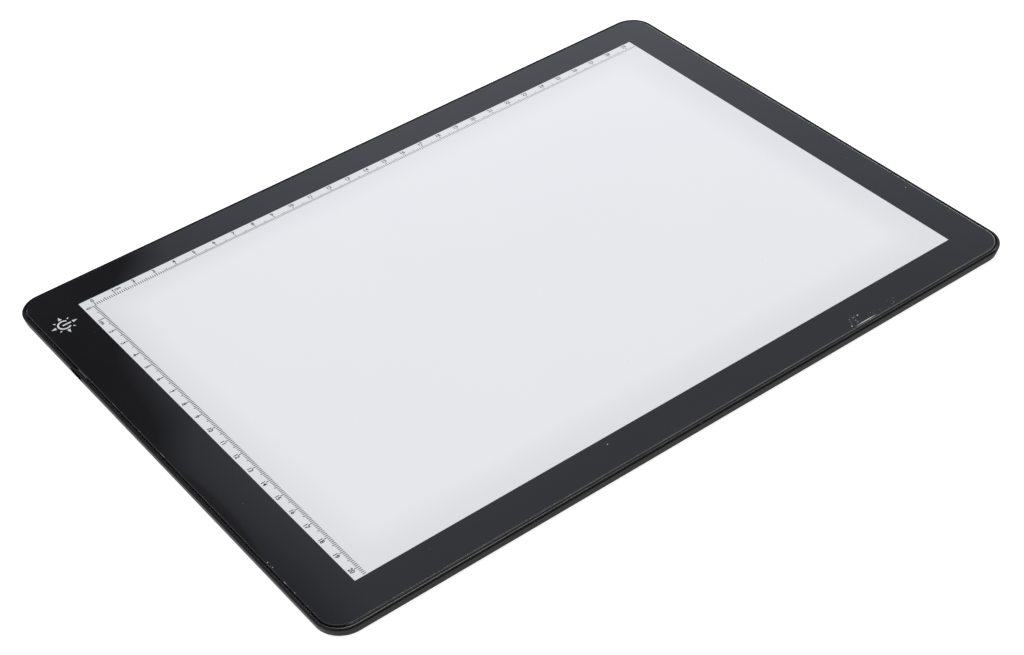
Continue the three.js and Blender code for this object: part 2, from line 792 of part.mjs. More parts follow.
// Two pairs of wires, from each end of the control board to the left end of an LED board.
function supplyWires() {
  const onBoard = boardTop + wireRadius + airGap;
  const onFloor = floorTop + wireRadius + airGap;
  const onStrip = floorTop + ledBoardThick + ledCoverThick + wireRadius + airGap;
  const stripY = guideWidth / 2 + ledGap + ledBoardWidth / 2 + wirePitch / 4;
  const stripX = windowLeft + wireEnd;
  [['red', 1], ['black', -1]].forEach(([colour, side]) => {
    const material = colour === 'red' ? finishes.wireRed : finishes.wireBlack;
    const x = wireRunX - (side * wirePitch) / 2;
    const y = stripY + (side * wirePitch) / 2;
    const toFar = [
      [x, boardFar - wireStart, onBoard],
      [x, boardFar, onBoard],
      [x, y - wireBend, onBoard],
      [x + wireBend, y, onStrip],
      [(x + wireBend + stripX) / 2, y, onStrip],
      [stripX, y, onStrip],
    ];
    const toNear = [
      [x, boardNear + wireStart, onBoard],
      [x, boardNear - wireRadius, onBoard],
      [x, boardNear - wireBend, onFloor],
      [x, 0, onFloor],
      [x, -guideWidth / 4, onFloor],
      [x, wireBend - y, onFloor],
      [x + wireBend, -y, onStrip],
      [(x + wireBend + stripX) / 2, -y, onStrip],
      [stripX, -y, onStrip],
    ];
    place('far_wire_' + colour, wire(toFar), material);
    place('near_wire_' + colour, wire(toNear), material);
  });
}

backTray();
rubberFeet();
opticalStack();
ledStrips();
panelTapes();
frontPanel();
panelPrint();
rulerPrints();
controlBoard();
boardScrews();
powerSocket();
supplyWires();

export default pad;
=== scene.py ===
import math

import bmesh
import bpy
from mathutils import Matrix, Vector


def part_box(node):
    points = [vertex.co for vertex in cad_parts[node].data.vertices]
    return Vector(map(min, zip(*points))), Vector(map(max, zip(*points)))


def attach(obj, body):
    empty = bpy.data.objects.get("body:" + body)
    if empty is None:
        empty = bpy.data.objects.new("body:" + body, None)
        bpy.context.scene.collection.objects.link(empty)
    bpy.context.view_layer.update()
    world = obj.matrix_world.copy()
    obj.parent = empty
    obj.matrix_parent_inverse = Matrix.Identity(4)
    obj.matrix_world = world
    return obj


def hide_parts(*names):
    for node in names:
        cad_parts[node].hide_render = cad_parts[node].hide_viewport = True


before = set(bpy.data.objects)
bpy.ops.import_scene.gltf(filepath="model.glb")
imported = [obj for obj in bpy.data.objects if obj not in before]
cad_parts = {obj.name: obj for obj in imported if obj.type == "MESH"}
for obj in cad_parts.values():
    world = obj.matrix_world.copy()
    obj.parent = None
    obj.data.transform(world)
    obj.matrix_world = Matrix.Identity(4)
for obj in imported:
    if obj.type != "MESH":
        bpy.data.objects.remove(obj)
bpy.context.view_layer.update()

mm = 0.001
tiny = 0.01 * mm
cornerSteps = 22
print("frame loaded")


# helpers for modelling

def only(piece):
    bpy.ops.object.select_all(action="DESELECT")
    piece.select_set(True)
    bpy.context.view_layer.objects.active = piece


def startEditing(piece):
    only(piece)
    bpy.ops.object.mode_set(mode="EDIT")


def stopEditing():
    bpy.ops.object.mode_set(mode="OBJECT")


def selectAll():
    bpy.ops.mesh.select_all(action="SELECT")


def pick(piece, kind, test):
    # select the vertices, edges or faces that pass a test
    bpy.ops.mesh.select_mode(type=kind)
    bpy.ops.mesh.select_all(action="DESELECT")
    mesh = bmesh.from_edit_mesh(piece.data)
    for part in {"VERT": mesh.verts, "EDGE": mesh.edges, "FACE": mesh.faces}[kind]:
        if test(part):
            part.select_set(True)
    bmesh.update_edit_mesh(piece.data)


def roundEdges(piece, test, radius, steps):
    pick(piece, "EDGE", test)
    bpy.ops.mesh.bevel(offset=radius, segments=steps)


def inset(thickness):
    bpy.ops.mesh.inset(thickness=thickness)


def lift(height):
    bpy.ops.transform.translate(value=(0, 0, height))


def extrude(height):
    bpy.ops.mesh.extrude_region_move(TRANSFORM_OT_translate={"value": (0, 0, height)})


def middle(part):
    return sum((v.co for v in part.verts), Vector()) / len(part.verts)


def level(part, z):
    return all(abs(v.co.z - z) < tiny for v in part.verts)


def upright(edge):
    a, b = (v.co for v in edge.verts)
    return abs(a.x - b.x) < tiny and abs(a.y - b.y) < tiny and abs(a.z - b.z) > tiny


def lengthwise(edge):
    return abs(edge.verts[0].co.x - edge.verts[1].co.x) > tiny


def besideWall(edge):
    return any(abs(face.normal.z) < 0.5 for face in edge.link_faces)


def applyAll():
    bpy.ops.object.transform_apply(location=True, rotation=True, scale=True)


def named(name, size=(1, 1, 1)):
    # name and size the mesh that was just added
    piece = bpy.context.object
    piece.name = name
    piece.data.name = name
    piece.scale = size
    applyAll()
    return piece


def startBlock(name, size, centre):
    bpy.ops.mesh.primitive_cube_add(size=1, location=centre)
    return named(name, size)


def startDisc(name, radius, high, centre, sides=72):
    bpy.ops.mesh.primitive_cylinder_add(vertices=sides, radius=radius, depth=high, location=centre)
    return named(name)


def startPlate(name, size, centre):
    bpy.ops.mesh.primitive_plane_add(size=1, location=centre)
    return named(name, (*size, 1))


def useModifier(piece, kind, **values):
    only(piece)
    modifier = piece.modifiers.new(kind.lower(), kind)
    for key, value in values.items():
        setattr(modifier, key, value)
    bpy.ops.object.modifier_apply(modifier=modifier.name)


def cutBy(piece, cutter, mode="DIFFERENCE"):
    useModifier(piece, "BOOLEAN", object=cutter, operation=mode, solver="EXACT")
    bpy.data.objects.remove(cutter, do_unlink=True)


def joinAll(first, others):
    only(first)
    for other in others:
        other.select_set(True)
    bpy.ops.object.join()


def faceOut(piece):
    selectAll()
    bpy.ops.mesh.normals_make_consistent(inside=False)
    pick(piece, "FACE", lambda f: f.normal.z < 0)
    bpy.ops.mesh.flip_normals()
    stopEditing()


def smooth(piece, degrees=30):
    only(piece)
    bpy.ops.object.shade_smooth_by_angle(angle=math.radians(degrees))


def settle(piece, node):
    only(piece)
    applyAll()
    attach(piece, "root")
    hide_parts(node)


def paint(piece, *materials):
    piece.data.materials.clear()
    for material in materials:
        piece.data.materials.append(material)


# helpers for nodes

def isSocket(value):
    return isinstance(value, bpy.types.NodeSocket)


def feed(node, values):
    # each value is a plain one, or another node's output to link
    for key, value in values.items():
        if isSocket(value):
            node.id_data.links.new(value, node.inputs[key])
        else:
            node.inputs[key].default_value = value


def addNode(tree, kind, values, **settings):
    node = tree.nodes.new(kind)
    for key, value in settings.items():
        setattr(node, key, value)
    feed(node, values)
    return node


def mathNode(operation, first, second=0.5, clamp=False):
    tree = (first if isSocket(first) else second).id_data
    node = addNode(tree, "ShaderNodeMath", {0: first, 1: second}, operation=operation, use_clamp=clamp)
    return node.outputs[0]


def times(first, second, clamp=False):
    return mathNode("MULTIPLY", first, second, clamp)


def plus(first, second):
    return mathNode("ADD", first, second)


def minus(first, second):
    return mathNode("SUBTRACT", first, second)


def most(first, second):
    return mathNode("MAXIMUM", first, second)


def below(first, second):
    return mathNode("LESS_THAN", first, second)


def beyond(first, second):
    return mathNode("GREATER_THAN", first, second)


def away(value):
    # how far from zero
    return mathNode("ABSOLUTE", value)


def spread(value, low, high, start=0.0, end=1.0):
    values = {"Value": value, "From Min": start, "From Max": end, "To Min": low, "To Max": high}
    return addNode(value.id_data, "ShaderNodeMapRange", values).outputs[0]


def rise(value, span):
    return spread(value, 0.0, 1.0, *span)


def fall(value, span):
    return spread(value, 1.0, 0.0, *span)


def axes(vector):
    return addNode(vector.id_data, "ShaderNodeSeparateXYZ", {0: vector}).outputs


def noise(where, scale, detail=2.0, rough=0.5):
    values = {"Vector": where, "Scale": scale, "Detail": detail, "Roughness": rough}
    return addNode(where.id_data, "ShaderNodeTexNoise", values).outputs["Fac"]


def cells(where, values, **settings):
    return addNode(where.id_data, "ShaderNodeTexVoronoi", {"Vector": where, **values}, **settings).outputs


def blendLevel(mask, under, over):
    mix = addNode(mask.id_data, "ShaderNodeMix", {0: mask, 2: under, 3: over}, data_type="FLOAT")
    return mix.outputs[0]


def blendColour(mask, under, over):
    mix = addNode(mask.id_data, "ShaderNodeMix", {0: mask, 6: under, 7: over}, data_type="RGBA")
    return mix.outputs[2]


def grey(tone, blue=None):
    return (tone, tone, tone if blue is None else blue, 1)


# camera, light and floor

camera = {
    "place": (-0.39677, -0.59063, 0.56450),
    "turn": (50.3317, 3.8275, -37.0122),
    "lens": 75.657,
    "sensor": 36,
    "nearest": 0.01,
}


def makeCamera():
    turn = [math.radians(angle) for angle in camera["turn"]]
    bpy.ops.object.camera_add(location=camera["place"], rotation=turn)
    eye = bpy.context.object
    eye.name = "photoCamera"
    eye.data.lens = camera["lens"]
    eye.data.sensor_width = camera["sensor"]
    eye.data.clip_start = camera["nearest"]
    bpy.context.scene.camera = eye


makeCamera()
bpy.context.scene.view_settings.view_transform = "Standard"
print("camera placed")


studio = {
    "fill": 0.80,
    # brightness of the surround that gloss sees, by degrees from +Y towards +X
    "cards": ((-180, 0.10), (-110, 0.10), (-100, 0.14), (-5, 0.03), (21.25, 0.03), (21.75, 0.62),
              (22.6, 0.80), (24.4, 0.96), (26.2, 1.06), (29.3, 1.16), (33.0, 1.12), (37.0, 1.04),
              (41.0, 1.0), (75, 1.0), (100, 0.12), (180, 0.10)),
    # the same by height, from the horizon to straight up: dark low down, then the bright card, then softer
    "heights": ((0.0, 0.04), (0.25, 0.05), (0.42, 1.0), (0.52, 1.0), (0.62, 0.53), (0.68, 0.54), (0.72, 0.46),
                (0.75, 0.44), (0.80, 0.12), (1.0, 0.08)),
    # a second card on the left, which comes down to the floor
    "lowCard": ((-180, 0.0), (-110, 0.0), (-95, 0.5), (-12, 0.5), (0, 0.0), (180, 0.0)),
    # how far the bright card's left edge stands from straight, in degrees by height
    "edge": ((0.580, -0.25), (0.592, -0.25), (0.597, 0.15), (0.612, 0.50), (0.626, 0.72), (0.632, 0.65),
             (0.637, 0.40), (0.643, 0.22), (0.648, 0.03), (0.654, -0.05), (0.660, 0.20), (0.666, 0.40)),
    # the card's slanted top: how much height it gains by angle, and how it fades above that line
    "slope": 0.754,
    "fade": ((0.350, 1.0), (0.360, 1.0), (0.3675, 0.92), (0.372, 0.86), (0.377, 0.79), (0.381, 0.66),
             (0.386, 0.55), (0.400, 0.50)),
    # something dark that stands before the slanted top: angle, height above the line, half sizes, share left
    "shade": (0.3935, 0.390, 0.0217, 0.0082, 0.35),
    "shadeEdge": (0.85, 1.15),
    "tint": (0.90, 0.94, 1.10, 1),
}


def levelsAlong(value, stops):
    # a ramp whose stops are written in the value's own units, with levels of any size
    first, last = stops[0][0], stops[-1][0]
    low = min(glow for place, glow in stops)
    high = max(glow for place, glow in stops)
    ramp = addNode(value.id_data, "ShaderNodeValToRGB", {0: spread(value, 0.0, 1.0, first, last)})
    elements = ramp.color_ramp.elements
    elements.remove(elements[1])
    for number, (place, glow) in enumerate(stops):
        share = (place - first) / (last - first)
        stop = elements.new(share) if number else elements[0]
        stop.position = share
        stop.color = grey((glow - low) / (high - low))
    return spread(ramp.outputs["Color"], low, high)


def cardShade(turned, above):
    # 1 outside a small ellipse, less inside it
    angle, height, halfAngle, halfHeight, left = studio["shade"]
    across = mathNode("DIVIDE", minus(turned, angle), halfAngle)
    upwards = mathNode("DIVIDE", minus(above, height), halfHeight)
    return spread(plus(times(across, across), times(upwards, upwards)), left, 1.0, *studio["shadeEdge"])


def studioGlow(direction):
    # the brightness of the surround in one direction
    x, y, height = axes(direction)
    turned = mathNode("ARCTAN2", x, y)
    bow = mathNode("RADIANS", levelsAlong(height, studio["edge"]))
    degrees = mathNode("DEGREES", plus(turned, bow))
    above = minus(height, times(turned, studio["slope"]))
    card = times(levelsAlong(degrees, studio["cards"]), levelsAlong(height, studio["heights"]))
    card = times(times(card, levelsAlong(above, studio["fade"])), cardShade(turned, above))
    return most(card, levelsAlong(degrees, studio["lowCard"]))


def makeWorld():
    world = bpy.data.worlds.new("studio")
    bpy.context.scene.world = world
    world.use_nodes = True
    tree = world.node_tree
    glow = studioGlow(addNode(tree, "ShaderNodeTexCoord", {}).outputs["Generated"])
    rays = addNode(tree, "ShaderNodeLightPath", {}).outputs
    seen = most(rays["Is Camera Ray"], rays["Is Transmission Ray"])
    shine = blendLevel(rays["Is Glossy Ray"], studio["fill"], glow)
    feed(tree.nodes["Background"], {
        "Color": blendColour(rays["Is Glossy Ray"], grey(1), studio["tint"]),
        "Strength": blendLevel(seen, shine, 1.0)})


softbox = {
    "place": (0.50, 0.88, 1.75),
    "size": (0.5, 0.5),
    "watts": 8.5,
}


def makeLamp():
    bpy.ops.object.light_add(type="AREA", location=softbox["place"])
    lamp = bpy.context.object
    lamp.name = "softbox"
    lamp.data.shape = "RECTANGLE"
    lamp.data.size, lamp.data.size_y = softbox["size"]
    lamp.data.energy = softbox["watts"]
    lamp.rotation_euler = Vector(softbox["place"]).to_track_quat("Z", "Y").to_euler()


floorSheet = {
    "side": 8.0,
    "colour": grey(0.60),
    "rough": 0.9,
    "lift": 0.80,
    "shineShare": 0.42,
}


def makeFloor():
    bpy.ops.mesh.primitive_plane_add(size=floorSheet["side"], location=(0, 0, 0))
    floor = bpy.context.object
    floor.name = "paperFloor"
    material = bpy.data.materials.new("paperFloor")
    material.use_nodes = True
    tree = material.node_tree
    rays = addNode(tree, "ShaderNodeLightPath", {}).outputs
    seen = most(rays["Is Camera Ray"], rays["Is Transmission Ray"])
    seen = most(seen, times(rays["Is Glossy Ray"], floorSheet["shineShare"]))
    feed(tree.nodes["Principled BSDF"], {
        "Base Color": floorSheet["colour"], "Roughness": floorSheet["rough"], "Specular IOR Level": 0.0,
        "Emission Color": grey(1), "Emission Strength": times(seen, floorSheet["lift"])})
    paint(floor, material)


makeWorld()
makeLamp()
makeFloor()
print("studio lit")


# shared surface effects; an input or output is a plain number unless it is named here

socketKinds = {"Vector": "Vector", "Place": "Vector", "Colour": "Color", "Other": "Color"}


def newGroup(name, inputs, outputs=("Mask",)):
    group = bpy.data.node_groups.new(name, "ShaderNodeTree")
    for way, labels in (("INPUT", ("Vector", *inputs)), ("OUTPUT", outputs)):
        for label in labels:
            kind = "NodeSocket" + socketKinds.get(label, "Float")
            group.interface.new_socket(name=label, in_out=way, socket_type=kind)
    return group, group.nodes.new("NodeGroupInput").outputs, group.nodes.new("NodeGroupOutput")


def makeDrift():
    # slow change from one colour to another
    start, end = newGroup("toneDrift", ("Colour", "Other", "Scale", "Contrast"), ("Colour", "Mask"))[1:]
    centred = minus(noise(start["Vector"], start["Scale"], 4.0, 0.55), 0.5)
    mask = mathNode("ADD", times(centred, start["Contrast"]), 0.5, clamp=True)
    feed(end, {"Colour": blendColour(mask, start["Colour"], start["Other"]), "Mask": mask})


def makeGrain():
    # fine spark-eroded grain of a mould, as a height
    start, end = newGroup("mouldGrain", ("Scale", "Coarse"), ("Height",))[1:]
    pits = cells(start["Vector"], {"Scale": times(start["Scale"], 0.45)}, feature="SMOOTH_F1")
    fine = noise(start["Vector"], start["Scale"], 3.0, 0.6)
    feed(end, {"Height": plus(fine, times(pits["Distance"], start["Coarse"]))})


def makeDust():
    # small round specks, thrown unevenly: one draw keeps a speck, one sizes it and one fades it
    group, start, end = newGroup("dustSpecks", ("Scale", "Size", "Share"))
    specks = cells(start["Vector"], {"Scale": start["Scale"]})
    draws = addNode(group, "ShaderNodeSeparateColor", {0: specks["Color"]}).outputs
    inside = below(specks["Distance"], times(start["Size"], draws[1]))
    feed(end, {"Mask": times(times(below(draws[0], start["Share"]), inside), draws[2])})


def makeScratches():
    # hair scratches: thin cell borders of a stretched pattern, broken by noise
    group, start, end = newGroup("hairScratches", ("Scale", "Width", "Stretch", "Turn", "Share"))
    turned = addNode(group, "ShaderNodeVectorRotate", {"Vector": start["Vector"], "Angle": start["Turn"]},
                     rotation_type="Z_AXIS")
    stretch = addNode(group, "ShaderNodeCombineXYZ", {"X": 1.0, "Y": start["Stretch"], "Z": 1.0})
    flat = addNode(group, "ShaderNodeVectorMath", {0: turned.outputs[0], 1: stretch.outputs[0]},
                   operation="MULTIPLY")
    borders = cells(flat.outputs[0], {"Scale": start["Scale"]}, feature="DISTANCE_TO_EDGE")
    kept = below(noise(start["Vector"], start["Scale"]), start["Share"])
    feed(end, {"Mask": times(below(borders["Distance"], start["Width"]), kept)})


def makeSpot():
    # a soft patch about one place, drawn out along X, for marks, wear and painted highlights that sit at that
    # place only
    group, start, end = newGroup("wearAndHighlightSpot", ("Place", "Radius", "Long"))
    offset = addNode(group, "ShaderNodeVectorMath", {0: start["Vector"], 1: start["Place"]},
                     operation="SUBTRACT")
    x, y = axes(offset.outputs[0])[:2]
    flat = addNode(group, "ShaderNodeCombineXYZ", {"X": mathNode("DIVIDE", x, start["Long"]), "Y": y})
    length = addNode(group, "ShaderNodeVectorMath", {0: flat.outputs[0]}, operation="LENGTH")
    share = mathNode("DIVIDE", length.outputs["Value"], start["Radius"])
    feed(end, {"Mask": mathNode("SUBTRACT", 1.0, share, clamp=True)})


makeDrift()
makeGrain()
makeDust()
makeScratches()
makeSpot()


def useEffect(effect, where, **values):
    node = addNode(where.id_data, "ShaderNodeGroup", {}, node_tree=bpy.data.node_groups[effect])
    feed(node, {"Vector": where, **values})
    return node.outputs[0]


def dust(where, scale, size, share):
    return useEffect("dustSpecks", where, Scale=scale, Size=size, Share=share)


def scratches(where, scale, width, stretch, turn, share):
    return useEffect("hairScratches", where, Scale=scale, Width=width, Stretch=stretch,
                     Turn=turn, Share=share)


def spot(where, place, radius, long=1.0):
    return useEffect("wearAndHighlightSpot", where, Place=place, Radius=radius, Long=long)


def newMaterial(name, **plain):
    material = bpy.data.materials.new(name)
    material.use_nodes = True
    shader = material.node_tree.nodes["Principled BSDF"]
    feed(shader, {key.replace("_", " "): value for key, value in plain.items()})
    return material, shader, addNode(material.node_tree, "ShaderNodeTexCoord", {}).outputs["Object"]


def toned(name, colour, other, scale, contrast, **plain):
    # a material whose tone drifts between two colours
    material, shader, where = newMaterial(name, **plain)
    tone = useEffect("toneDrift", where, Colour=colour, Other=other, Scale=scale, Contrast=contrast)
    feed(shader, {"Base Color": tone})
    return material, shader, where, tone


def bumpFrom(shader, height, strength, depth):
    values = {"Height": height, "Strength": strength, "Distance": depth}
    bump = addNode(shader.id_data, "ShaderNodeBump", values)
    feed(shader, {"Normal": bump.outputs[0]})


def grainBump(shader, where, scale, coarse, strength, depth=0.05 * mm):
    bumpFrom(shader, useEffect("mouldGrain", where, Scale=scale, Coarse=coarse), strength, depth)


print("surface effects ready")


# the tray: one black moulding

tray = {
    "size": (341.32 * mm, 247.22 * mm),
    "base": 0.8 * mm,
    "rimTop": 5.7 * mm,
    "corner": 11.5 * mm,
    "lean": 1.0 * mm,
    "baseRound": 1.1 * mm,
    "rimRound": 0.6 * mm,
    "crown": 0.36 * mm,
    "rimWidth": 1.35 * mm,
    "lip": 0.2 * mm,
    "ledgeWidth": 4.0 * mm,
    "ledgeTop": 4.25 * mm,
    "floorTop": 1.8 * mm,
    "black": (grey(0.0070, 0.0076), grey(0.0110, 0.0118), 38.0, 1.5),
    "dust": grey(0.20),
    # the rim top's lighter colours: rubbing plus a painted highlight
    "rubbedAndHighlit": (grey(0.15, 0.155), grey(0.20, 0.205)),  # along most of the rim, and on the near side
    "rubbedAndHighlitAbove": (5.64 * mm, 5.69 * mm),
    "nearSide": (-121.9 * mm, -121.0 * mm),
    # the inner lip's painted highlight with rubbing: across, upwards and along the near side
    "wornAndHighlitLip": ((-122.65 * mm, -122.3 * mm), (5.46 * mm, 5.56 * mm), (-150 * mm, -60 * mm)),
    # painted reflection on the left wall: colour, share, across and upwards
    "wallSheen": (grey(0.050), 0.85, (-169.7 * mm, -169.0 * mm), (4.9 * mm, 5.3 * mm)),
    "shoulder": (4.7 * mm, 5.1 * mm),
}
slot = {
    "y": 66.8 * mm,
    "wide": 8.1 * mm,
    "low": 1.7 * mm,
    "high": 4.5 * mm,
    "deep": 7 * mm,
    "round": 0.9 * mm,
    "mouth": (1.4 * mm, 0.7 * mm, 1.25 * mm),  # depth, and the flare to each side and upward
    "notch": (4.2 * mm, 11.9 * mm),
    "overrun": 0.3 * mm,
    "shadedTo": -152.6 * mm,
    # painted shade: the slot's inside is darker than the rest of the tray
    "black": (grey(0.003), grey(0.006), 700.0, 1.5),
}
ribs = {
    "sunk": 0.5 * mm,
    "screws": ((-154.5 * mm, 102.7 * mm), (-162.35 * mm, 55.6 * mm)),
    "boss": (1.9 * mm, 1.0 * mm),
    "bossRim": 1.15 * mm,
    "bossHole": 0.45 * mm,
    "guideWide": 216.6 * mm,
    # stops beside the guide and clips for the wires: places along X, shares of the guide's width, size
    "stop": ((-152.6 * mm, 156.1 * mm), (-0.35, 0.1), (1 * mm, 18 * mm, 1.9 * mm)),
    "clip": ((-160.1 * mm, -156.7 * mm), (-0.3, 0.05), (0.8 * mm, 5 * mm, 1.8 * mm)),
}


def outward(edge):
    # true for the outer edge between an upright wall and a flat face
    walls = [f for f in edge.link_faces if abs(f.normal.z) < 0.7]
    flats = [f for f in edge.link_faces if abs(f.normal.z) > 0.7]
    return len(walls) == 1 and len(flats) == 1 and walls[0].normal.dot(middle(edge)) > 0


def trayBody():
    long, wide = tray["size"]
    base, lean = tray["base"], tray["lean"]
    rimEdge = tray["rimTop"] - tray["crown"]
    body = startBlock("trayBody", (long, wide, rimEdge - base), (0, 0, (rimEdge + base) / 2))
    startEditing(body)
    roundEdges(body, upright, tray["corner"], cornerSteps)
    # the wall leans in towards its base
    pick(body, "VERT", lambda v: abs(v.co.z - base) < tiny)
    share = (1 - 2 * lean / long, 1 - 2 * lean / wide, 1)
    bpy.ops.transform.resize(value=share, center_override=(0, 0, base))
    # the crowned rim, the ledge under the panel, and the floor
    pick(body, "FACE", lambda f: level(f, rimEdge))
    inset(tray["rimWidth"])
    lift(tray["crown"])
    extrude(tray["ledgeTop"] - tray["rimTop"])
    inset(tray["ledgeWidth"])
    extrude(tray["floorTop"] - tray["ledgeTop"])
    roundEdges(body, lambda e: level(e, base) and outward(e), tray["baseRound"], 7)
    roundEdges(body, lambda e: level(e, rimEdge) and outward(e), tray["rimRound"], 5)
    roundEdges(body, lambda e: level(e, tray["rimTop"]) and not outward(e) and besideWall(e), tray["lip"], 2)
    stopEditing()
    return body


def socketSlot(body):
    # a slot with rounded ends that flares towards its mouth, and the notch in the ledge behind it
    wide, deep, low, y = slot["wide"], slot["deep"], slot["low"], slot["y"]
    high = slot["high"] - low
    mouthDeep, mouthWide, mouthHigh = slot["mouth"]
    outer = -tray["size"][0] / 2
    cutter = startBlock("slotCutter", (deep, wide, high), (outer, y, low + high / 2))
    startEditing(cutter)
    roundEdges(cutter, lengthwise, slot["round"], 6)
    selectAll()
    bpy.ops.mesh.bisect(plane_co=(outer + mouthDeep, 0, 0), plane_no=(1, 0, 0))
    pick(cutter, "VERT", lambda v: v.co.x < outer - deep / 2 + tiny)
    share = (deep / 2 + mouthDeep) / mouthDeep
    flare = (1, 1 + 2 * mouthWide * share / wide, 1 + mouthHigh * share / high)
    bpy.ops.transform.resize(value=flare, center_override=(0, y, low))
    stopEditing()
    cutBy(body, cutter)
    long, across = slot["notch"]
    top, floor = tray["rimTop"] + slot["overrun"], tray["floorTop"]
    place = (outer + tray["rimWidth"] + long / 2, y, (floor + top) / 2)
    cutBy(body, startBlock("notchCutter", (long, across, top - floor), place))


def trayRibs(body):
    low = tray["floorTop"] - ribs["sunk"]
    radius, high = ribs["boss"]
    for x, y in ribs["screws"]:
        boss = startDisc("boss", radius, high, (x, y, low + high / 2), 32)
        startEditing(boss)
        pick(boss, "FACE", lambda f: f.normal.z > 0.9)
        inset(ribs["bossRim"])
        extrude(-ribs["bossHole"])
        stopEditing()
        cutBy(body, boss, "UNION")
    for name in ("stop", "clip"):
        spots, shares, size = ribs[name]
        for x in spots:
            for share in shares:
                block = startBlock(name, size, (x, share * ribs["guideWide"], low + size[2] / 2))
                cutBy(body, block, "UNION")


def trayPlastic():
    # the wall keeps the mould's matt grain, the shoulder is sleeker, and the rim's top is rubbed and carries
    # a painted highlight, brighter on the near side
    material, shader, where, tone = toned("trayPlastic", *tray["black"], IOR=1.38)
    x, y, z = axes(where)
    dustAndSheen = blendColour(spread(dust(where, 520.0, 0.16, 0.10), 0.0, 0.30), tone, tray["dust"])
    patches = noise(where, 150.0, 6.0, 0.7)
    nearSide = fall(y, tray["nearSide"])
    # painted highlight: on the near side a lighter line runs down the rim's inner lip, stronger to the right,
    # in the same rubbed patches
    across, upwards, along = tray["wornAndHighlitLip"]
    lip = times(times(rise(z, upwards), nearSide), rise(y, across))
    lip = times(lip, spread(x, 0.2, 1.0, *along))
    # painted highlight with rubbing: the rim's top and the near inner lip are lighter, in patches
    rubbedAndHighlit = times(most(rise(z, tray["rubbedAndHighlitAbove"]), lip), spread(patches, 0.35, 0.8, 0.40, 0.66))
    # painted reflection: the left wall below the shoulder is made lighter, standing in for the floor's sheen
    # at a grazing angle
    colour, share, across, upwards = tray["wallSheen"]
    sheenMask = times(spread(x, share, 0.0, *across), fall(z, upwards))
    dustAndSheen = blendColour(sheenMask, dustAndSheen, colour)
    matt = spread(patches, 0.40, 0.50)
    sleek = spread(patches, 0.20, 0.32)
    feed(shader, {"Base Color": blendColour(rubbedAndHighlit, dustAndSheen, blendColour(nearSide, *tray["rubbedAndHighlit"])),
                  "Roughness": blendLevel(rise(z, tray["shoulder"]), matt, sleek)})
    grainBump(shader, where, 2600.0, 0.5, 0.10)
    return material


def slotBlack():
    # the slot's inner faces keep a coarse matt, and a darker black as painted shade in the recess
    material, shader, where = toned("slotBlack", *slot["black"], Roughness=0.9, IOR=1.3)[:3]
    grainBump(shader, where, 2600.0, 0.5, 0.3)
    return material


def inSlot(face):
    at = face.center
    mouthWide, mouthHigh = slot["mouth"][1:]
    near = at.x < slot["shadedTo"] and abs(at.y - slot["y"]) < slot["wide"] / 2 + mouthWide
    deep = slot["low"] - tiny < at.z < slot["high"] + mouthHigh and face.normal.x > -0.8
    return near and deep and not (face.normal.z > 0.2 and at.z > slot["high"])


# rubber feet

foot = {
    "places": (146.55 * mm, 99.5 * mm),
    "radius": 6.0 * mm,
    "high": 1.2 * mm,
    "edge": 0.28 * mm,
    "ring": 1.1 * mm,
    "slope": 0.3 * mm,
    "dish": 0.14 * mm,
    "button": 2.6 * mm,
    "buttonSlope": 0.2 * mm,
    "buttonDown": 0.08 * mm,
    "seat": (6.2 * mm, 0.4 * mm),  # radius and depth of its recess in the tray
    "overrun": 1.6 * mm,
    "rubber": (grey(0.016, 0.017), (0.030, 0.029, 0.028, 1), 420.0, 2.0),
    "dust": (0.25, 0.24, 0.22, 1),
}


def footRecesses(body):
    footX, footY = foot["places"]
    radius, deep = foot["seat"]
    high = deep + foot["overrun"]
    for x in (-footX, footX):
        for y in (-footY, footY):
            cutBy(body, startDisc("recess", radius, high, (x, y, tray["base"] + deep - high / 2)))


def makeTray():
    body = trayBody()
    socketSlot(body)
    trayRibs(body)
    footRecesses(body)
    paint(body, trayPlastic(), slotBlack())
    # the faces inside the slot get the darker painted shade
    for face in body.data.polygons:
        face.material_index = 1 if inSlot(face) else 0
    smooth(body)
    settle(body, "back_tray")


makeTray()
print("tray moulded")


def rubberMatt():
    material, shader, where, tone = toned("rubberMatt", *foot["rubber"], IOR=1.5)
    specks = dust(where, 1500.0, 0.3, 0.3)
    feed(shader, {"Base Color": blendColour(spread(specks, 0.0, 0.5), tone, foot["dust"]),
                  "Roughness": spread(specks, 0.78, 0.92)})
    grainBump(shader, where, 3200.0, 0.8, 0.25)
    return material


def makeFoot():
    # a disc with a round edge, a dish in its underside and a button in the dish
    piece = startDisc("footPad", foot["radius"], foot["high"], (0, 0, foot["high"] / 2))
    startEditing(piece)
    roundEdges(piece, lambda e: level(e, 0) and besideWall(e), foot["edge"], 4)
    pick(piece, "FACE", lambda f: f.normal.z < -0.9 and level(f, 0))
    inset(foot["ring"])
    inset(foot["slope"])
    lift(foot["dish"])
    inset(foot["button"])
    inset(foot["buttonSlope"])
    lift(-foot["buttonDown"])
    stopEditing()
    paint(piece, rubberMatt())
    smooth(piece, 35)
    return piece


def makeFeet():
    pattern = makeFoot()
    for name, x, y in (("far_left", -1, 1), ("far_right", 1, 1),
                       ("near_left", -1, -1), ("near_right", 1, -1)):
        piece = pattern.copy()
        piece.data = pattern.data.copy()
        piece.name = "footPad_" + name
        piece.data.name = piece.name
        bpy.context.collection.objects.link(piece)
        piece.location = (x * foot["places"][0], y * foot["places"][1], 0)
        settle(piece, "foot_" + name)
    bpy.data.objects.remove(pattern, do_unlink=True)


makeFeet()
print("feet made")
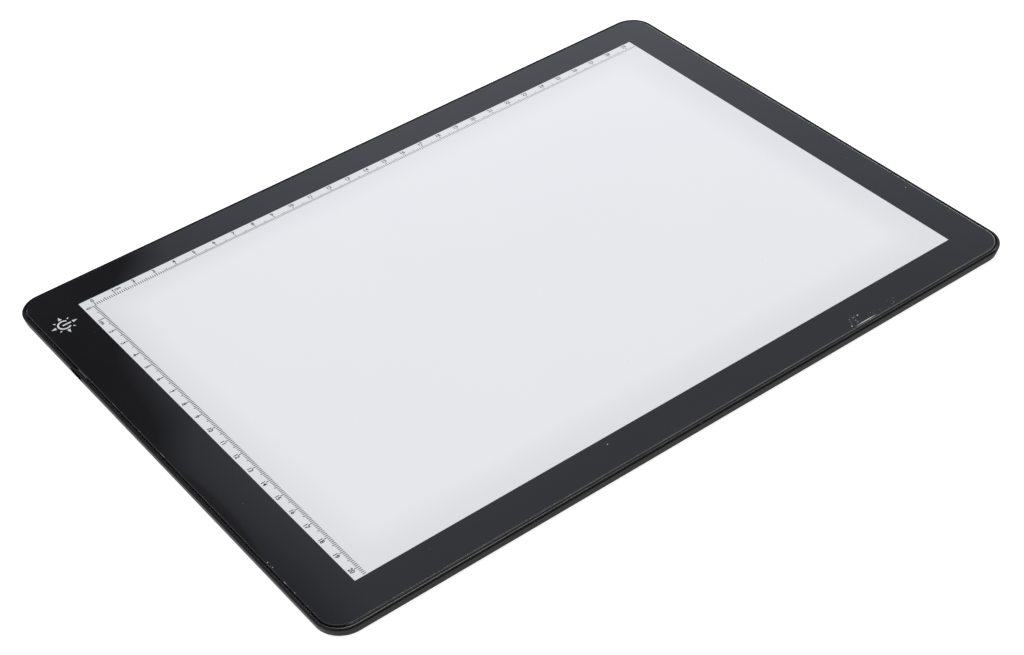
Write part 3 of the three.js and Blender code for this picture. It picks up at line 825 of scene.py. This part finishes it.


# front panel: white at the window with painted shade at its edges, side faces painted lighter or darker by
# side, and a ground bevel with painted highlights

panel = {
    "size": (337.1 * mm, 243.0 * mm),
    "low": 4.45 * mm,
    "top": 5.95 * mm,
    "corner": 9.5 * mm,
    "bevel": 0.3 * mm,
    "window": ((-148.55 * mm, 152.05 * mm), (-105.3 * mm, 105.3 * mm)),
    "fade": 24 * mm,
    "white": ((0.818, 0.834, 0.866, 1), (0.832, 0.846, 0.876, 1), 9.0, 2.2),
    # painted shade towards the window's edges
    "shadedWhite": (0.760, 0.778, 0.806, 1),
    "specks": grey(0.40, 0.41),
    "ground": (grey(0.10, 0.105), grey(0.19, 0.195), 70.0, 2.4),  # the bevel
    # painted shade: the bevel is darker along the left edge
    "groundLeftShade": grey(0.030, 0.032),
    # painted light and shade on the side faces: darkest on the left, lighter on the right, lightest on the
    # near side
    "side": (grey(0.012, 0.014), grey(0.040, 0.042), grey(0.10, 0.103)),  # left, right and near
    "brightFrom": (-168.55 * mm, 20 * mm),
    # the bevel's light colours: real scuffs on most edges, and a brighter painted highlight on the right one
    "scuffAndHighlight": (grey(0.46, 0.47), grey(0.78, 0.79)),  # most edges, and the right one
    # painted highlights on the bevel: about the near right corner, and along the right edge
    "cornerHighlight": ((168.0 * mm, -112.0 * mm, 5.9 * mm), 16 * mm),
    "rightHighlight": (165.5 * mm, 168 * mm),
    "bevelAbove": (5.82 * mm, 5.88 * mm),
    "nearFace": (-121.4 * mm, -120.6 * mm),
}


def inWindow(place):
    (left, right), (near, far) = panel["window"]
    return left < place.x < right and near < place.y < far


def windowCuts():
    # four straight cuts along the window's edges
    (left, right), (near, far) = panel["window"]
    for place, normal in (((left, 0, 0), (1, 0, 0)), ((right, 0, 0), (1, 0, 0)),
                          ((0, far, 0), (0, 1, 0)), ((0, near, 0), (0, 1, 0))):
        selectAll()
        bpy.ops.mesh.bisect(plane_co=place, plane_no=normal)


def windowFade(where):
    # painted shade: the white is a little dimmer towards the window's four edges
    mask = 1.0
    for value, (low, high) in zip(axes(where), panel["window"]):
        for edge, inner in ((low, low + panel["fade"]), (high, high - panel["fade"])):
            ramp = spread(value, 0.0, 1.0, edge, inner)
            ramp.node.interpolation_type = "SMOOTHERSTEP"
            mask = times(ramp, mask)
    return mask


def windowWhite():
    material, shader, where, tone = toned("windowWhite", *panel["white"], IOR=1.49)
    faded = blendColour(windowFade(where), panel["shadedWhite"], tone)
    specks = spread(dust(where, 95.0, 0.030, 0.22), 0.0, 0.6)
    smears = spread(noise(where, 16.0, 5.0, 0.6), 0.05, 0.13)
    hairs = times(scratches(where, 26.0, 0.0006, 0.16, 0.5, 0.36), 0.12)
    feed(shader, {"Base Color": blendColour(specks, faded, panel["specks"]),
                  "Roughness": plus(smears, hairs)})
    return material


def panelEdge():
    # painted light and shade: the side faces get a tone by side, darkest on the left and lightest at the near
    # side, and the ground bevel's thin light line is painted darker along the left edge and brighter on the
    # right and about the near right corner; the noise adds real scuffs
    material, shader, where, tone = toned("panelEdge", *panel["ground"], IOR=1.49)
    x, y, z = axes(where)
    bright = rise(x, panel["brightFrom"])
    ground = blendColour(bright, panel["groundLeftShade"], tone)
    right = rise(x, panel["rightHighlight"])
    corner = spread(spot(where, *panel["cornerHighlight"]), 0.0, 0.8, 0.45, 1.0)
    wornAndHighlit = most(spread(noise(where, 420.0, 8.0, 0.75), 0.0, 1.0, 0.58, 0.68), corner)
    wornAndHighlit = most(wornAndHighlit, times(right, 0.9))
    scuffedAndHighlit = blendColour(wornAndHighlit, ground, blendColour(right, *panel["scuffAndHighlight"]))
    # painted light and shade: each side face gets its own tone
    shadedSideLeft, litSideRight, litSideNear = panel["side"]
    side = blendColour(fall(y, panel["nearFace"]), blendColour(bright, shadedSideLeft, litSideRight), litSideNear)
    feed(shader, {"Base Color": blendColour(rise(z, panel["bevelAbove"]), side, scuffedAndHighlit),
                  "Roughness": spread(wornAndHighlit, 0.22, 0.5)})
    return material


def makePanel():
    long, wide = panel["size"]
    low, top = panel["low"], panel["top"]
    sheet = startBlock("panelSheet", (long, wide, top - low), (0, 0, (low + top) / 2))
    startEditing(sheet)
    roundEdges(sheet, upright, panel["corner"], cornerSteps)
    roundEdges(sheet, lambda e: level(e, top), panel["bevel"], 4)
    windowCuts()
    stopEditing()
    paint(sheet, panelEdge(), windowWhite())
    for face in sheet.data.polygons:
        face.material_index = 1 if face.normal.z > 0.9 and inWindow(face.center) else 0
    smooth(sheet)
    settle(sheet, "front_panel")


makePanel()
print("panel made")


# black print round the window

border = {
    "inset": 0.36 * mm,
    "low": 5.951 * mm,
    "top": 6.015 * mm,
    "black": (grey(0.0100, 0.0112), grey(0.0135, 0.0150), 14.0, 2.0),
    "mark": grey(0.62, 0.63),
    # each patch of grit and fine scratch: middle and radius in millimetres, and how many times as long
    "grit": ((85.3, -118.3, 4.2, 1.1), (96.0, -118.9, 2.6, 1.5), (106.2, -118.2, 2.8, 1.1),
             (-167.0, -78.5, 1.5, 1.0), (-167.0, 115.2, 1.4, 1.0)),
    "scratch": ((89.6, -120.6, 0.26, 24), (-34.9, -109.1, 0.26, 1.2), (89.2, -116.0, 0.34, 1.3),
                (82.8, -119.5, 0.34, 1.2), (-167.8, -76.7, 0.21, 1.5), (-167.7, -80.1, 0.17, 1.6),
                (-158.6, -44.2, 0.06, 1.0), (-151.8, -29.0, 0.08, 1.0), (165.2, -67.1, 0.26, 1.0)),
}


def borderSpot(where, x, y, radius, long):
    return spot(where, (x * mm, y * mm, border["top"]), radius * mm, long)


def borderInk():
    material, shader, where, tone = toned("borderInk", *border["black"], IOR=1.5)
    marks = spread(dust(where, 210.0, 0.055, 0.10), 0.0, 0.45)
    grit = dust(where, 1700.0, 0.50, 0.36)
    for patch in border["grit"]:
        thick = spread(borderSpot(where, *patch), 0.0, 1.9, 0.0, 0.8)
        marks = most(marks, times(thick, grit, clamp=True))
    for line in border["scratch"]:
        marks = most(marks, spread(borderSpot(where, *line), 0.0, 1.0, 0.0, 0.5))
    smears = spread(noise(where, 24.0, 6.0, 0.62), 0.012, 0.035)
    hairs = times(scratches(where, 30.0, 0.0007, 0.14, 0.9, 0.42), 0.04)
    feed(shader, {"Base Color": blendColour(marks, tone, border["mark"]),
                  "Roughness": plus(plus(smears, hairs), times(marks, 0.4))})
    return material


def makeBorder():
    size = [side - 2 * border["inset"] for side in panel["size"]]
    ink = startPlate("borderPrint", size, (0, 0, border["low"]))
    startEditing(ink)
    selectAll()
    bpy.ops.mesh.bevel(offset=panel["corner"] - border["inset"], segments=cornerSteps, affect="VERTICES")
    windowCuts()
    pick(ink, "FACE", lambda f: inWindow(middle(f)))
    bpy.ops.mesh.delete(type="FACE")
    stopEditing()
    useModifier(ink, "SOLIDIFY", thickness=border["top"] - border["low"], offset=1)
    paint(ink, borderInk())
    smooth(ink)
    settle(ink, "bezel_print")


makeBorder()
print("border printed")


# touch mark: a sun round a power sign

mark = {
    "centre": (-159.65 * mm, 96.8 * mm, 6.012 * mm),
    "thick": 0.016 * mm,
    "ring": 2.675 * mm,
    "line": 0.77 * mm,
    "open": 44,
    "bar": (-0.85 * mm, 3.1 * mm),
    "barRound": 0.25 * mm,
    # a ray's start, tip and width
    "ray": (3.85 * mm, 6.08 * mm, 1.6 * mm),
    "smallRay": (3.95 * mm, 5.3 * mm, 0.8 * mm),
    "white": ((0.74, 0.75, 0.76, 1), (0.62, 0.63, 0.64, 1), 900.0, 1.6),
    "pinholes": grey(0.10),
}


def markRing():
    outer = mark["ring"] + mark["line"] / 2
    share = (outer - mark["line"]) / outer
    bpy.ops.mesh.primitive_circle_add(vertices=144, radius=outer)
    ring = named("touchMark")
    startEditing(ring)
    selectAll()
    bpy.ops.mesh.extrude_edges_move()
    bpy.ops.transform.resize(value=(share, share, 1), center_override=(0, 0, 0))
    half = math.radians(mark["open"])
    pick(ring, "FACE", lambda f: abs(math.atan2(middle(f).y, middle(f).x)) < half)
    bpy.ops.mesh.delete(type="FACE")
    stopEditing()
    return ring


def markBar():
    start, end = mark["bar"]
    bar = startPlate("markBar", (end - start, mark["line"]), ((start + end) / 2, 0, 0))
    startEditing(bar)
    pick(bar, "VERT", lambda v: v.co.x < 0)
    bpy.ops.mesh.bevel(offset=mark["barRound"], segments=5, affect="VERTICES")
    stopEditing()
    return bar


def markRay(sizes, angle):
    # a triangle, stretched to its size, moved out and turned
    start, tip, wide = sizes
    bpy.ops.mesh.primitive_circle_add(vertices=3, radius=1, fill_type="NGON")
    ray = named("markRay")
    low = min(v.co.y for v in ray.data.vertices)
    ray.scale = (wide / ray.dimensions.x, (tip - start) / ray.dimensions.y, 1)
    ray.location.y = start - low * ray.scale.y
    applyAll()
    ray.rotation_euler.z = math.radians(angle)
    applyAll()
    return ray


def printWhite():
    material, shader, where, tone = toned("printWhite", *mark["white"], IOR=1.5)
    pinholes = dust(where, 2600.0, 0.3, 0.12)
    feed(shader, {"Base Color": blendColour(pinholes, tone, mark["pinholes"]),
                  "Roughness": spread(pinholes, 0.22, 0.5)})
    return material


def makeMark():
    sun = markRing()
    rays = [markRay(mark["ray"], 90 * number) for number in range(4)]
    rays += [markRay(mark["smallRay"], 90 * number + 45) for number in range(4)]
    joinAll(sun, [markBar()] + rays)
    startEditing(sun)
    faceOut(sun)
    useModifier(sun, "SOLIDIFY", thickness=mark["thick"], offset=1)
    sun.location = mark["centre"]
    paint(sun, printWhite())
    settle(sun, "touch_mark_print")


makeMark()
print("touch mark printed")


# rulers, printed on the window: the strokes stand apart from the window's edge and the figures lie between

ruler = {
    "base": 5.55 * mm,
    "millimetre": 4.0 * mm,
    "half": 3.4 * mm,
    "whole": 2.85 * mm,
    "low": 5.951 * mm,
    "thick": 0.03 * mm,
    "figureSize": 2.65 * mm,
    "figureBold": 0.055 * mm,
    "figureMiddle": 1.75 * mm,
    "unitShare": 0.92,
    "unitAside": 0.75 * mm,
    "black": (grey(0.004, 0.005), grey(0.014, 0.016), 700.0, 1.8),
    "gaps": grey(0.2, 0.21),
    "faint": (0.34, grey(0.8, 0.82)),
    "faintAlong": (-100 * mm, 130 * mm),
}
rulers = (
    # name, node, millimetres, side of the window's edge, zero, turn, width of a stroke
    ("rulerFar", "ruler_print_far", 294, -1, (-142.95 * mm, 105.3 * mm), 0, 0.30 * mm),
    ("rulerLeft", "ruler_print_left", 204, 1, (-148.55 * mm, 99.7 * mm), -90, 0.35 * mm),
)


def strokes(name, line, side, start, end, first, step, count):
    # strokes along +X, off the window's edge at y = 0
    stroke = startPlate(name, (line, start - end), (first, side * (start + end) / 2, 0))
    useModifier(stroke, "ARRAY", count=count, use_relative_offset=False,
                use_constant_offset=True, constant_offset_displace=(step, 0, 0))
    return stroke


def figure(text, x, side):
    bpy.ops.object.text_add(location=(x, side * ruler["figureMiddle"], 0))
    label = bpy.context.object
    label.data.body = text
    label.data.size = ruler["figureSize"]
    label.data.resolution_u = 3
    label.data.offset = ruler["figureBold"]
    label.data.align_x = "LEFT" if text == "cm" else "CENTER"
    label.data.align_y = "CENTER"
    bpy.ops.object.convert(target="MESH")
    label = bpy.context.object
    if text == "cm":
        # the unit is set smaller, just after the figure 1
        label.scale = (ruler["unitShare"], ruler["unitShare"], 1)
        label.location.x += ruler["unitAside"]
    return label


def rulerBlack():
    # the print gets fainter towards the right end of the far ruler
    material, shader, where, tone = toned("rulerBlack", *ruler["black"], IOR=1.5)
    gaps = dust(where, 2400.0, 0.2, 0.05)
    share, pale = ruler["faint"]
    faint = spread(axes(where)["X"], 0.0, share, *ruler["faintAlong"])
    feed(shader, {"Base Color": blendColour(faint, blendColour(gaps, tone, ruler["gaps"]), pale),
                  "Roughness": spread(gaps, 0.3, 0.6)})
    return material


def makeRuler(name, node, length, side, zero, turn, line, ink):
    start, centimetre = ruler["millimetre"], 10 * mm
    wholes, halves = length // 10 + 1, (length - 5) // 10 + 1
    marks = strokes(name, line, side, ruler["base"], start, 0, 1 * mm, length + 1)
    others = [strokes("wholes", line, side, start, ruler["whole"], 0, centimetre, wholes),
              strokes("halves", line, side, start, ruler["half"], centimetre / 2, centimetre, halves)]
    others += [figure(str(number), number * centimetre, side) for number in range(wholes)]
    joinAll(marks, others + [figure("cm", centimetre, side)])
    startEditing(marks)
    faceOut(marks)
    useModifier(marks, "SOLIDIFY", thickness=ruler["thick"], offset=1)
    marks.rotation_euler.z = math.radians(turn)
    marks.location = (*zero, ruler["low"])
    paint(marks, ink)
    settle(marks, node)


rulerInk = rulerBlack()
for values in rulers:
    makeRuler(*values, rulerInk)
print("rulers printed")


# power socket: a bent sheet shell, open at both ends

socket = {
    "front": -168.9 * mm,
    "back": -163.65 * mm,
    "wide": 7.5 * mm,
    "low": 1.9 * mm,
    "high": 2.4 * mm,
    "wall": 0.3 * mm,
    "slant": 0.9 * mm,
    "round": 0.45 * mm,
    "edge": 0.06 * mm,
    # painted shade about the mouth: where it fades out, and its colour
    "darkTo": (0.2 * mm, 1.2 * mm),
    "dark": grey(0.012),
    "nickel": ((0.50, 0.51, 0.53, 1), (0.42, 0.42, 0.43, 1), 0.28),
}


def bareMetal(name, colour, other, rough, turn=0.0):
    # plated or bare metal with fine drawn lines along X
    material, shader, where, tone = toned(name, colour, other, 240.0, 1.8, Metallic=1.0)
    stretch = addNode(shader.id_data, "ShaderNodeMapping",
                      {"Vector": where, "Rotation": (0, 0, turn), "Scale": (0.04, 1, 1)})
    lines = noise(stretch.outputs[0], 9000.0)
    feed(shader, {"Roughness": spread(lines, rough * 0.7, rough * 1.4)})
    bumpFrom(shader, lines, 0.12, 0.01 * mm)
    return material, shader, where, tone


def socketNickel():
    # drawn nickel, with painted shade about the mouth
    material, shader, where, tone = bareMetal("nickelSheet", *socket["nickel"])
    deep = rise(axes(where)["X"], [socket["front"] + reach for reach in socket["darkTo"]])
    feed(shader, {"Base Color": blendColour(deep, socket["dark"], tone)})
    return material


def makeSocket():
    front, back, high = socket["front"], socket["back"], socket["high"]
    centre = ((back + front) / 2, slot["y"], socket["low"] + high / 2)
    shell = startBlock("socketShell", (back - front, socket["wide"], high), centre)
    startEditing(shell)
    roundEdges(shell, lambda e: lengthwise(e) and middle(e).z < centre[2], socket["slant"], 1)
    top = centre[2] + high / 2 - tiny
    roundEdges(shell, lambda e: lengthwise(e) and middle(e).z > top, socket["round"], 5)
    pick(shell, "FACE", lambda f: abs(f.normal.x) > 0.9)
    bpy.ops.mesh.delete(type="FACE")
    stopEditing()
    useModifier(shell, "SOLIDIFY", thickness=socket["wall"], offset=-1, use_even_offset=True)
    useModifier(shell, "BEVEL", width=socket["edge"], segments=2,
                limit_method="ANGLE", angle_limit=math.radians(60))
    paint(shell, socketNickel())
    smooth(shell, 35)
    settle(shell, "socket_shell")


makeSocket()
print("socket made")


# inside: each solid that stays gets its own finish

epoxyTones = grey(0.0105, 0.0112), grey(0.017, 0.018)
# two colours, scale of the drift, roughness and scale of the grain
inside = {
    "whiteFilm": ((0.84, 0.85, 0.85, 1), (0.88, 0.89, 0.89, 1), 60.0, 0.5, 1800.0),
    "guideAcrylic": ((0.80, 0.85, 0.87, 1), (0.83, 0.88, 0.90, 1), 20.0, 0.06, 0.0),
    "paperTape": ((0.56, 0.53, 0.44, 1), (0.62, 0.59, 0.50, 1), 160.0, 0.7, 0.0),
    "boardGreen": ((0.010, 0.085, 0.030, 1), (0.014, 0.105, 0.038, 1), 90.0, 0.32, 1500.0),
    "boardWhite": (grey(0.78, 0.74), grey(0.83, 0.79), 70.0, 0.42, 0.0),
    "ledRow": (grey(0.82, 0.78), grey(0.87, 0.83), 300.0, 0.35, 0.0),
    "Epoxy": (*epoxyTones, 900.0, 0.5, 5000.0),
    "Film": (*epoxyTones, 1400.0, 0.35, 0.0),
    "Fired": ((0.44, 0.32, 0.18, 1), (0.52, 0.39, 0.24, 1), 1100.0, 0.45, 6000.0),
    "Yellow": ((0.46, 0.23, 0.03, 1), (0.52, 0.28, 0.05, 1), 600.0, 0.5, 4000.0),
    "coilFerrite": (grey(0.035, 0.038), grey(0.06, 0.064), 700.0, 0.6, 3500.0),
    "socketResin": (*epoxyTones, 500.0, 0.4, 4000.0),
    "blackFoam": (grey(0.022, 0.024), grey(0.035, 0.037), 500.0, 0.95, 0.0),
    "red": ((0.42, 0.014, 0.011, 1), (0.50, 0.022, 0.016, 1), 260.0, 0.38, 3000.0),
    "black": (grey(0.009, 0.010), grey(0.016, 0.017), 260.0, 0.38, 3000.0),
}
components = (
    # nodes, finish, the axis of the bright ends and how far from the middle they start
    (("touch_chip", "dimming_transistor", "diode"), "Epoxy", 1, 0.76 * mm),
    (("resistor_1", "resistor_2", "resistor_3"), "Film", 0, 0.55 * mm),
    (("ceramic_capacitor_1", "ceramic_capacitor_2"), "Fired", 0, 0.5 * mm),
    (("tantalum_capacitor_1", "tantalum_capacitor_2"), "Yellow", 1, 1.6 * mm),
)
metals = {
    "screwSteel": ((0.52, 0.53, 0.55, 1), (0.44, 0.45, 0.46, 1), 0.3, 0.6),
    "bareCopper": ((0.58, 0.24, 0.09, 1), (0.46, 0.17, 0.06, 1), 0.32),
    "goldPlate": ((0.72, 0.48, 0.13, 1), (0.62, 0.40, 0.10, 1), 0.22),
}
details = {
    "dots": grey(0.93, 0.92),
    "fibres": (0.70, 0.67, 0.58, 1),
    "tracks": (0.030, 0.16, 0.055, 1),
    "holes": (0.55, 0.46, 0.28, 1),
    "ledTracks": ((0.60, 0.58, 0.50, 1), 0.35 * mm),  # colour and half width
    # an LED's window: colour, half width, half height, height above the middle and half the step
    "phosphor": ((0.85, 0.62, 0.06, 1), 1.1 * mm, 0.3 * mm, 0.1 * mm, 4 * mm),
    "ends": grey(0.62, 0.60),
    "chipDot": (grey(0.16), 0.45 * mm, 0.75 * mm, 0.2 * mm),  # colour, along X and Y, and radius
    "band": ((0.12, 0.04, 0.012, 1), 1.05 * mm),
    "winding": ((0.35, 0.13, 0.05, 1), 1.6 * mm),
}


def finishFor(material, *nodes):
    for name in nodes:
        paint(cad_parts[name], material)


def inner(finish, name=None, **plain):
    # a drifting tone and gloss over a fine grain
    colour, other, scale, rough, grain = inside[finish]
    material, shader, where, tone = toned(name or finish, colour, other, scale, 1.8, **plain)
    mask = tone.node.outputs["Mask"]
    feed(shader, {"Roughness": spread(mask, rough * 0.85, min(1.0, rough * 1.15))})
    if grain:
        grainBump(shader, where, grain, 0.5, 0.2, 0.03 * mm)
    return material, shader, where, tone


def aboutCentre(where, node):
    # coordinates from the middle of a node's solid
    low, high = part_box(node)
    values = {0: where, 1: (low + high) / 2}
    return axes(addNode(where.id_data, "ShaderNodeVectorMath", values, operation="SUBTRACT").outputs[0])


def finishSheets():
    finishFor(inner("whiteFilm")[0], "reflector_sheet", "diffuser_sheet", "edge_reflector_left",
              "edge_reflector_right")
    guide, shader, where, tone = inner("guideAcrylic", IOR=1.49, Transmission_Weight=0.85)
    printed = below(cells(where, {"Scale": 640.0, "Randomness": 0.0})["Distance"], 0.28)
    feed(shader, {"Base Color": blendColour(printed, tone, details["dots"]),
                  "Roughness": spread(printed, 0.04, 0.6)})
    finishFor(guide, "light_guide")
    tape, shader, where, tone = inner("paperTape")
    fibres = scratches(where, 260.0, 0.02, 0.3, 0.8, 0.5)
    feed(shader, {"Base Color": blendColour(fibres, tone, details["fibres"])})
    finishFor(tape, *["panel_tape_" + side for side in ("far", "near", "right", "left_far", "left_near")])


def finishControlBoard():
    # tracks under green lacquer, and small plated holes
    green, shader, where, tone = inner("boardGreen")
    tracks = addNode(shader.id_data, "ShaderNodeTexBrick",
                     {"Vector": where, "Scale": 420.0, "Mortar Size": 0.05, "Brick Width": 1.9},
                     offset=0.37, squash=1.6, squash_frequency=3)
    tracked = blendColour(tracks.outputs["Fac"], tone, details["tracks"])
    holes = below(cells(where, {"Scale": 330.0, "Randomness": 0.85})["Distance"], 0.085)
    feed(shader, {"Base Color": blendColour(holes, tracked, details["holes"])})
    finishFor(green, "control_board")


def finishLedBoard(side):
    colour, trackHalf = details["ledTracks"]
    phosphor, halfWide, halfHigh, up, halfStep = details["phosphor"]
    white, shader, where, tone = inner("boardWhite", "boardWhite_" + side)
    x, y, z = aboutCentre(where, "led_board_" + side)
    tracks = times(below(away(y), trackHalf), beyond(mathNode("PINGPONG", x, halfStep), halfWide))
    feed(shader, {"Base Color": blendColour(tracks, tone, colour)})
    finishFor(white, "led_board_" + side)
    body, shader, where, tone = inner("ledRow", "ledRow_" + side)
    x, y, z = aboutCentre(where, "led_row_" + side)
    across = below(mathNode("PINGPONG", plus(x, halfStep), halfStep), halfWide)
    window = times(across, below(away(minus(z, up)), halfHigh))
    feed(shader, {"Base Color": blendColour(window, tone, phosphor)})
    finishFor(body, "led_row_" + side)


def finishComponent(node, finish, axis, brightFrom):
    made, shader, where, tone = inner(finish, node + finish)
    low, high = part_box(node)
    if finish == "Epoxy":
        colour, right, up, radius = details["chipDot"]
        dot = beyond(spot(where, (low.x + right, low.y + up, high.z), radius), 0.05)
        tone = blendColour(dot, tone, colour)
    if finish == "Yellow":
        colour, bandFrom = details["band"]
        tone = blendColour(beyond(aboutCentre(where, node)[1], bandFrom), tone, colour)
    ends = beyond(away(aboutCentre(where, node)[axis]), brightFrom)
    feed(shader, {"Base Color": blendColour(ends, tone, details["ends"]), "Metallic": times(ends, 0.9)})
    finishFor(made, node)


def finishCoil():
    colour, radius = details["winding"]
    coil, shader, where, tone = inner("coilFerrite")
    low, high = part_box("inductor")
    ring = spot(where, ((low.x + high.x) / 2, (low.y + high.y) / 2, high.z), radius)
    wound = times(beyond(ring, 0.05), below(ring, 0.4))
    feed(shader, {"Base Color": blendColour(wound, tone, colour)})
    finishFor(coil, "inductor")


def finishMetals():
    steel, copper, gold = (bareMetal(name, *values)[0] for name, values in metals.items())
    finishFor(steel, "board_screw_1", "board_screw_2")
    finishFor(copper, "touch_electrode")
    finishFor(gold, *["socket_contact_%d" % number for number in range(1, 6)])


def finishSoft():
    foam, shader, where = inner("blackFoam")[:3]
    pores = cells(where, {"Scale": 2600.0}, feature="SMOOTH_F1")
    bumpFrom(shader, pores["Distance"], 0.6, 0.1 * mm)
    finishFor(foam, "touch_foam")
    for name in ("red", "black"):
        finishFor(inner(name, "sleeve_" + name)[0], "far_wire_" + name, "near_wire_" + name)


finishSheets()
finishControlBoard()
finishLedBoard("far")
finishLedBoard("near")
for nodes, *values in components:
    for node in nodes:
        finishComponent(node, *values)
finishCoil()
finishFor(inner("socketResin")[0], "socket_insulator")
finishMetals()
finishSoft()
print("inside finished")
